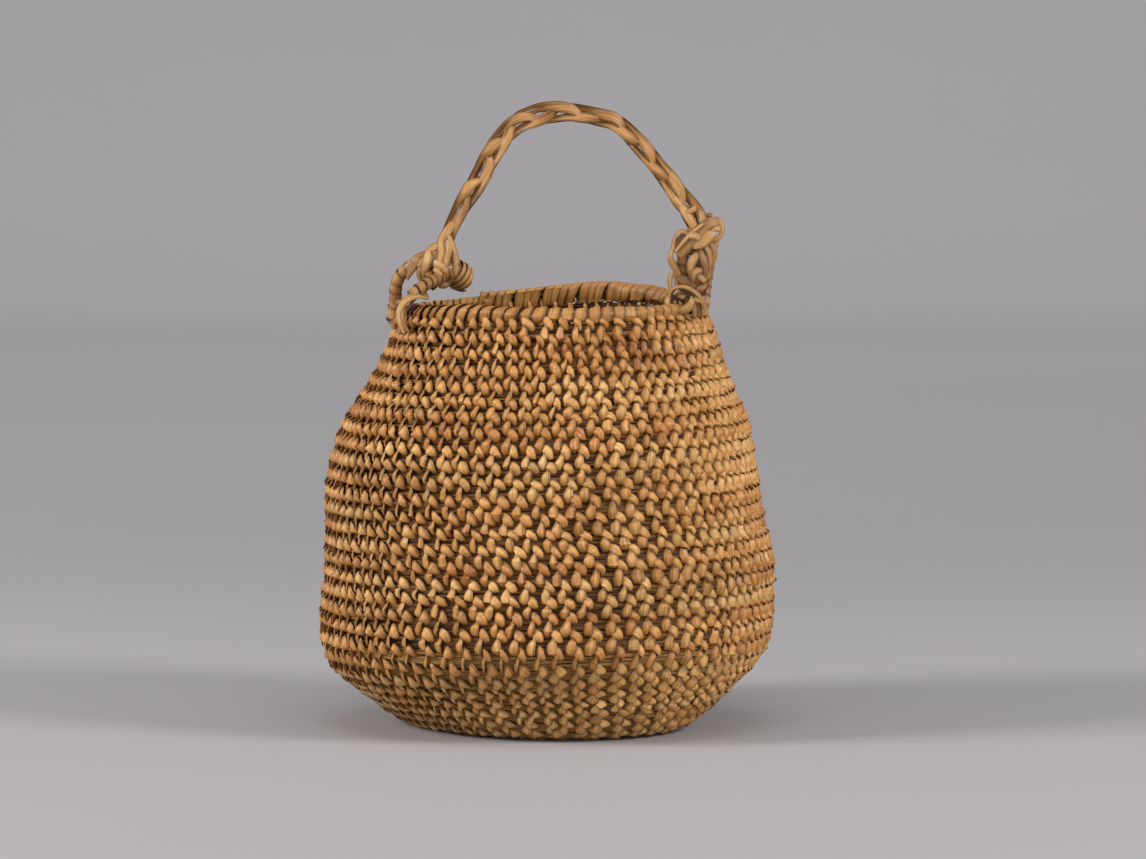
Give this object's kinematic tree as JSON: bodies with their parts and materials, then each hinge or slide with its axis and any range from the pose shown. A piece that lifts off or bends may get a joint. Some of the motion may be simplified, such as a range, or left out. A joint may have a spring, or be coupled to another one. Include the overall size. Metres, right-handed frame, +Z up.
{
  "type": "coiled basket",
  "caption": "Small coiled plant-fibre basket with a flat base, a narrowed mouth, two wrapped ears and a plaited bail handle that swings.",
  "frame": {"origin": "middle of the base, on the surface the basket stands on", "axes": "+Z up through the mouth, +X from the left ear to the right ear, +Y away from the side shown"},
  "size_m": [0.1655, 0.161, 0.2278],
  "materials": {
    "coil_straw": "matte",
    "rim_straw": "satin",
    "ear_straw": "satin",
    "stem_bundle": "matte",
    "handle_leaf": "satin"
  },
  "bodies": {
    "basket": {"start_knot": "stem_bundle", "base_coil": "coil_straw", "heel_coil": "coil_straw", "belly_coil": "coil_straw", "body_coil": "coil_straw", "shoulder_coil": "coil_straw", "rim_coil": "rim_straw", "left_ear_core": "stem_bundle", "left_ear_wrap": "ear_straw", "right_ear_core": "stem_bundle", "right_ear_wrap": "ear_straw", "right_plaited_tail": "handle_leaf", "right_curl": "handle_leaf"},
    "handle": {"handle_strand_1": "handle_leaf", "handle_strand_2": "handle_leaf", "handle_strand_3": "handle_leaf", "left_knot": "handle_leaf", "right_knot": "handle_leaf", "left_tail_coil": "handle_leaf", "right_neck_wrap": "handle_leaf"}
  },
  "joints": [
    {"name": "handle_swing", "type": "hinge", "parent": "basket", "child": "handle", "pos_m": [-0.03932, 0, 0.1721], "axis": [0.9984, 0, 0.0568], "range_deg": [-90, 90]}
  ]
}
